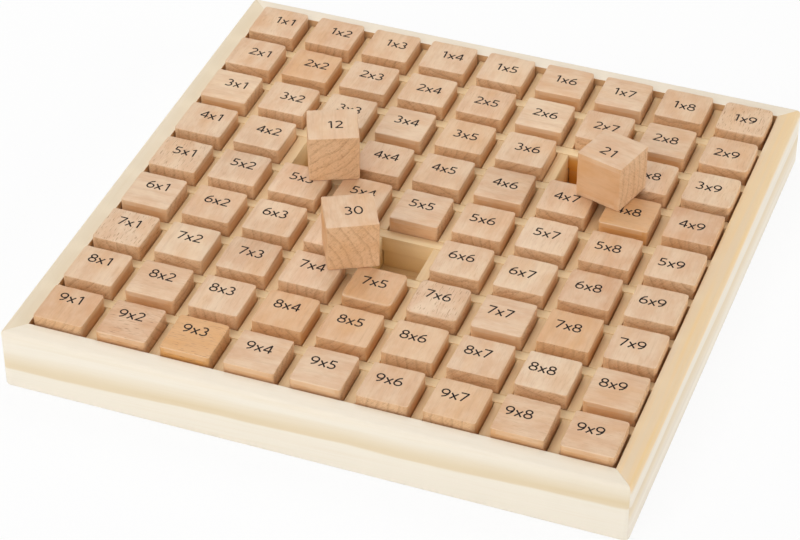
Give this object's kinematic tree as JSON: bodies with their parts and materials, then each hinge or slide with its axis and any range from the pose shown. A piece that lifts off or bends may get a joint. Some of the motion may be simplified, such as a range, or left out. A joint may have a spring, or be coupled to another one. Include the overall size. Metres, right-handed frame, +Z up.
{
  "type": "multiplication board",
  "caption": "Square wooden tray with a grid of pockets and lift-out cubes, each with a multiplication task on one face and its answer on the opposite face.",
  "frame": {"origin": "centre of the tray's underside, on the surface that it stands on", "axes": "+X to the right along the tasks of a row, +Y from the front row to the back row, +Z up out of the pockets"},
  "size_m": [0.27, 0.27, 0.0556],
  "materials": {
    "rail_pine": "pale pine, sanded, clear matt finish",
    "divider_pine": "pale pine, sanded",
    "base_board": "plain thin board",
    "cube_beech": "beech, sanded, numbers printed in dark ink"
  },
  "bodies": {
    "tray": {"front_rail": "rail_pine", "right_rail": "rail_pine", "back_rail": "rail_pine", "left_rail": "rail_pine", "base_panel": "base_board", "long_divider_1": "divider_pine", "cross_divider_1": "divider_pine", "long_divider_2": "divider_pine", "cross_divider_2": "divider_pine", "long_divider_3": "divider_pine", "cross_divider_3": "divider_pine", "long_divider_4": "divider_pine", "cross_divider_4": "divider_pine", "long_divider_5": "divider_pine", "cross_divider_5": "divider_pine", "long_divider_6": "divider_pine", "cross_divider_6": "divider_pine", "long_divider_7": "divider_pine", "cross_divider_7": "divider_pine", "long_divider_8": "divider_pine", "cross_divider_8": "divider_pine"},
    "cubes_row_1": {"cubes_row_1": "cube_beech"},
    "cubes_row_2": {"cubes_row_2": "cube_beech"},
    "cubes_row_8": {"cubes_row_8": "cube_beech"},
    "cubes_row_9": {"cubes_row_9": "cube_beech"},
    "cubes_7x1_to_7x3": {"cubes_7x1_to_7x3": "cube_beech"},
    "cubes_7x6_to_7x9": {"cubes_7x6_to_7x9": "cube_beech"},
    "cubes_5x3_5x4_4x4": {"cubes_5x3_5x4_4x4": "cube_beech"},
    "cubes_6x4_7x4_7x5": {"cubes_6x4_7x4_7x5": "cube_beech"},
    "cubes_3x8_4x8_4x7": {"cubes_3x8_4x8_4x7": "cube_beech"},
    "cube_3x1": {"cube_3x1": "cube_beech"},
    "cube_3x2": {"cube_3x2": "cube_beech"},
    "cube_3x3": {"cube_3x3": "cube_beech"},
    "cube_3x4": {"cube_3x4": "cube_beech"},
    "cube_3x5": {"cube_3x5": "cube_beech"},
    "cube_3x6": {"cube_3x6": "cube_beech"},
    "cube_3x9": {"cube_3x9": "cube_beech"},
    "cube_4x1": {"cube_4x1": "cube_beech"},
    "cube_4x2": {"cube_4x2": "cube_beech"},
    "cube_4x5": {"cube_4x5": "cube_beech"},
    "cube_4x6": {"cube_4x6": "cube_beech"},
    "cube_4x9": {"cube_4x9": "cube_beech"},
    "cube_5x1": {"cube_5x1": "cube_beech"},
    "cube_5x2": {"cube_5x2": "cube_beech"},
    "cube_5x5": {"cube_5x5": "cube_beech"},
    "cube_5x6": {"cube_5x6": "cube_beech"},
    "cube_5x7": {"cube_5x7": "cube_beech"},
    "cube_5x8": {"cube_5x8": "cube_beech"},
    "cube_5x9": {"cube_5x9": "cube_beech"},
    "cube_6x1": {"cube_6x1": "cube_beech"},
    "cube_6x2": {"cube_6x2": "cube_beech"},
    "cube_6x3": {"cube_6x3": "cube_beech"},
    "cube_6x6": {"cube_6x6": "cube_beech"},
    "cube_6x7": {"cube_6x7": "cube_beech"},
    "cube_6x8": {"cube_6x8": "cube_beech"},
    "cube_6x9": {"cube_6x9": "cube_beech"},
    "answer_cube_12": {"answer_cube_12": "cube_beech"},
    "answer_cube_30": {"answer_cube_30": "cube_beech"},
    "answer_cube_21": {"answer_cube_21": "cube_beech"}
  },
  "joints": [
    {"name": "lift_row_1", "type": "slide", "parent": "tray", "child": "cubes_row_1", "axis": [0, 0, 1], "range_m": [0, 0.03]},
    {"name": "lift_row_2", "type": "slide", "parent": "tray", "child": "cubes_row_2", "axis": [0, 0, 1], "range_m": [0, 0.03]},
    {"name": "lift_row_8", "type": "slide", "parent": "tray", "child": "cubes_row_8", "axis": [0, 0, 1], "range_m": [0, 0.03]},
    {"name": "lift_row_9", "type": "slide", "parent": "tray", "child": "cubes_row_9", "axis": [0, 0, 1], "range_m": [0, 0.03]},
    {"name": "lift_7x1_to_7x3", "type": "slide", "parent": "tray", "child": "cubes_7x1_to_7x3", "axis": [0, 0, 1], "range_m": [0, 0.03]},
    {"name": "lift_7x6_to_7x9", "type": "slide", "parent": "tray", "child": "cubes_7x6_to_7x9", "axis": [0, 0, 1], "range_m": [0, 0.03]},
    {"name": "lift_5x3_5x4_4x4", "type": "slide", "parent": "tray", "child": "cubes_5x3_5x4_4x4", "axis": [0, 0, 1], "range_m": [0, 0.03]},
    {"name": "lift_6x4_7x4_7x5", "type": "slide", "parent": "tray", "child": "cubes_6x4_7x4_7x5", "axis": [0, 0, 1], "range_m": [0, 0.03]},
    {"name": "lift_3x8_4x8_4x7", "type": "slide", "parent": "tray", "child": "cubes_3x8_4x8_4x7", "axis": [0, 0, 1], "range_m": [0, 0.03]},
    {"name": "lift_3x1", "type": "slide", "parent": "tray", "child": "cube_3x1", "axis": [0, 0, 1], "range_m": [0, 0.03]},
    {"name": "lift_3x2", "type": "slide", "parent": "tray", "child": "cube_3x2", "axis": [0, 0, 1], "range_m": [0, 0.03]},
    {"name": "lift_3x3", "type": "slide", "parent": "tray", "child": "cube_3x3", "axis": [0, 0, 1], "range_m": [0, 0.03]},
    {"name": "lift_3x4", "type": "slide", "parent": "tray", "child": "cube_3x4", "axis": [0, 0, 1], "range_m": [0, 0.03]},
    {"name": "lift_3x5", "type": "slide", "parent": "tray", "child": "cube_3x5", "axis": [0, 0, 1], "range_m": [0, 0.03]},
    {"name": "lift_3x6", "type": "slide", "parent": "tray", "child": "cube_3x6", "axis": [0, 0, 1], "range_m": [0, 0.03]},
    {"name": "lift_3x9", "type": "slide", "parent": "tray", "child": "cube_3x9", "axis": [0, 0, 1], "range_m": [0, 0.03]},
    {"name": "lift_4x1", "type": "slide", "parent": "tray", "child": "cube_4x1", "axis": [0, 0, 1], "range_m": [0, 0.03]},
    {"name": "lift_4x2", "type": "slide", "parent": "tray", "child": "cube_4x2", "axis": [0, 0, 1], "range_m": [0, 0.03]},
    {"name": "lift_4x5", "type": "slide", "parent": "tray", "child": "cube_4x5", "axis": [0, 0, 1], "range_m": [0, 0.03]},
    {"name": "lift_4x6", "type": "slide", "parent": "tray", "child": "cube_4x6", "axis": [0, 0, 1], "range_m": [0, 0.03]},
    {"name": "lift_4x9", "type": "slide", "parent": "tray", "child": "cube_4x9", "axis": [0, 0, 1], "range_m": [0, 0.03]},
    {"name": "lift_5x1", "type": "slide", "parent": "tray", "child": "cube_5x1", "axis": [0, 0, 1], "range_m": [0, 0.03]},
    {"name": "lift_5x2", "type": "slide", "parent": "tray", "child": "cube_5x2", "axis": [0, 0, 1], "range_m": [0, 0.03]},
    {"name": "lift_5x5", "type": "slide", "parent": "tray", "child": "cube_5x5", "axis": [0, 0, 1], "range_m": [0, 0.03]},
    {"name": "lift_5x6", "type": "slide", "parent": "tray", "child": "cube_5x6", "axis": [0, 0, 1], "range_m": [0, 0.03]},
    {"name": "lift_5x7", "type": "slide", "parent": "tray", "child": "cube_5x7", "axis": [0, 0, 1], "range_m": [0, 0.03]},
    {"name": "lift_5x8", "type": "slide", "parent": "tray", "child": "cube_5x8", "axis": [0, 0, 1], "range_m": [0, 0.03]},
    {"name": "lift_5x9", "type": "slide", "parent": "tray", "child": "cube_5x9", "axis": [0, 0, 1], "range_m": [0, 0.03]},
    {"name": "lift_6x1", "type": "slide", "parent": "tray", "child": "cube_6x1", "axis": [0, 0, 1], "range_m": [0, 0.03]},
    {"name": "lift_6x2", "type": "slide", "parent": "tray", "child": "cube_6x2", "axis": [0, 0, 1], "range_m": [0, 0.03]},
    {"name": "lift_6x3", "type": "slide", "parent": "tray", "child": "cube_6x3", "axis": [0, 0, 1], "range_m": [0, 0.03]},
    {"name": "lift_6x6", "type": "slide", "parent": "tray", "child": "cube_6x6", "axis": [0, 0, 1], "range_m": [0, 0.03]},
    {"name": "lift_6x7", "type": "slide", "parent": "tray", "child": "cube_6x7", "axis": [0, 0, 1], "range_m": [0, 0.03]},
    {"name": "lift_6x8", "type": "slide", "parent": "tray", "child": "cube_6x8", "axis": [0, 0, 1], "range_m": [0, 0.03]},
    {"name": "lift_6x9", "type": "slide", "parent": "tray", "child": "cube_6x9", "axis": [0, 0, 1], "range_m": [0, 0.03]},
    {"name": "lift_answer_cube_12", "type": "slide", "parent": "cubes_5x3_5x4_4x4", "child": "answer_cube_12", "axis": [0, 0, 1], "range_m": [0, 0.03]},
    {"name": "lift_answer_cube_30", "type": "slide", "parent": "cubes_6x4_7x4_7x5", "child": "answer_cube_30", "axis": [0, 0, 1], "range_m": [0, 0.03]},
    {"name": "lift_answer_cube_21", "type": "slide", "parent": "cubes_3x8_4x8_4x7", "child": "answer_cube_21", "axis": [0, 0, 1], "range_m": [0, 0.03]}
  ]
}
